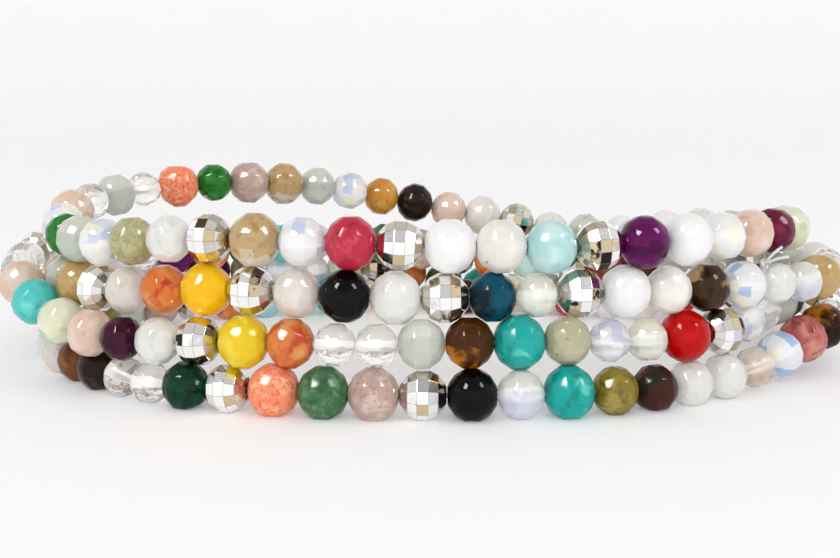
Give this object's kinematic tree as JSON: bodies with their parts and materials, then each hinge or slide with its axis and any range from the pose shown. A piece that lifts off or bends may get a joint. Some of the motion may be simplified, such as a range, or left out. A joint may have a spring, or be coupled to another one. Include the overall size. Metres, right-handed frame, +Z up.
{
  "type": "gemstone bead bracelet",
  "caption": "Long string of small faceted gemstone and silver beads wound into a stacked wrap bracelet on a knotted clear elastic thread.",
  "frame": {"origin": "centre of the bounding box at the surface that the bracelet lies on", "axes": "+X along the coil's long width, to the picture's right; -Y towards the rows seen in front; +Z up from the surface"},
  "size_m": [0.0752, 0.0468, 0.016],
  "materials": {
    "gemstone": "small faceted stones in many colours, polished",
    "silver": "mirror-polished facets",
    "clear_thread": "clear elastic thread, smooth"
  },
  "bodies": {
    "root": {"stones_wrap_1": "gemstone", "silver_wrap_1": "silver", "stones_wrap_2": "gemstone", "silver_wrap_2": "silver", "stones_wrap_3": "gemstone", "silver_wrap_3": "silver", "stones_wrap_4": "gemstone", "silver_wrap_4": "silver", "elastic_thread": "clear_thread", "thread_knot": "clear_thread"}
  },
  "joints": []
}
